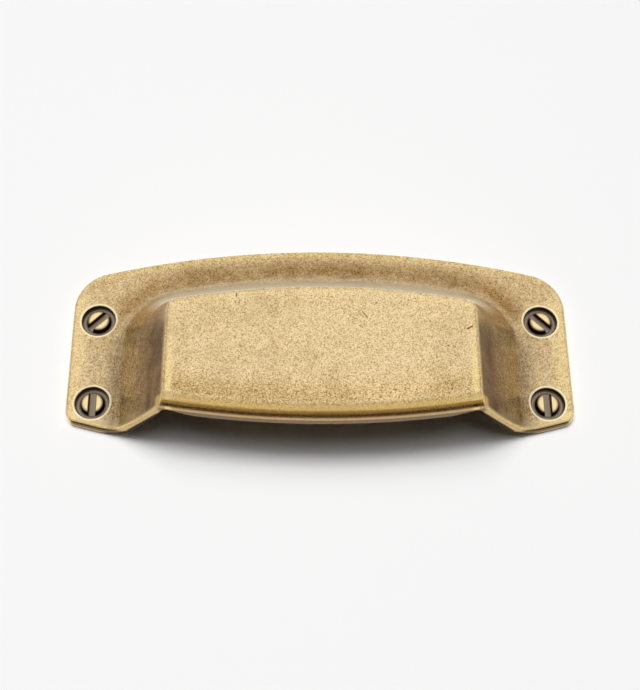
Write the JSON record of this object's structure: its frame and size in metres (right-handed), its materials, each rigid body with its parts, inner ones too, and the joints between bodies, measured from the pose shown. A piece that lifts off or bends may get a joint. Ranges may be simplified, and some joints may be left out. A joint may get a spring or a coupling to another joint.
{
  "type": "shell pull",
  "caption": "Cast brass shell pull for a drawer: a hollow raised panel open at its mouth, a coved flange with dummy slotted screws, and tapped posts behind.",
  "frame": {"origin": "midway between the two tapped posts, on the back of the flange", "axes": "+Z out of the drawer front, -Y towards the open mouth that the fingers enter, +X to the right seen from the front"},
  "size_m": [0.118, 0.0535, 0.0245],
  "materials": {
    "antique_brass": "antiqued, tumbled satin"
  },
  "bodies": {
    "root": {"shell_pull": "antique_brass"}
  },
  "joints": []
}
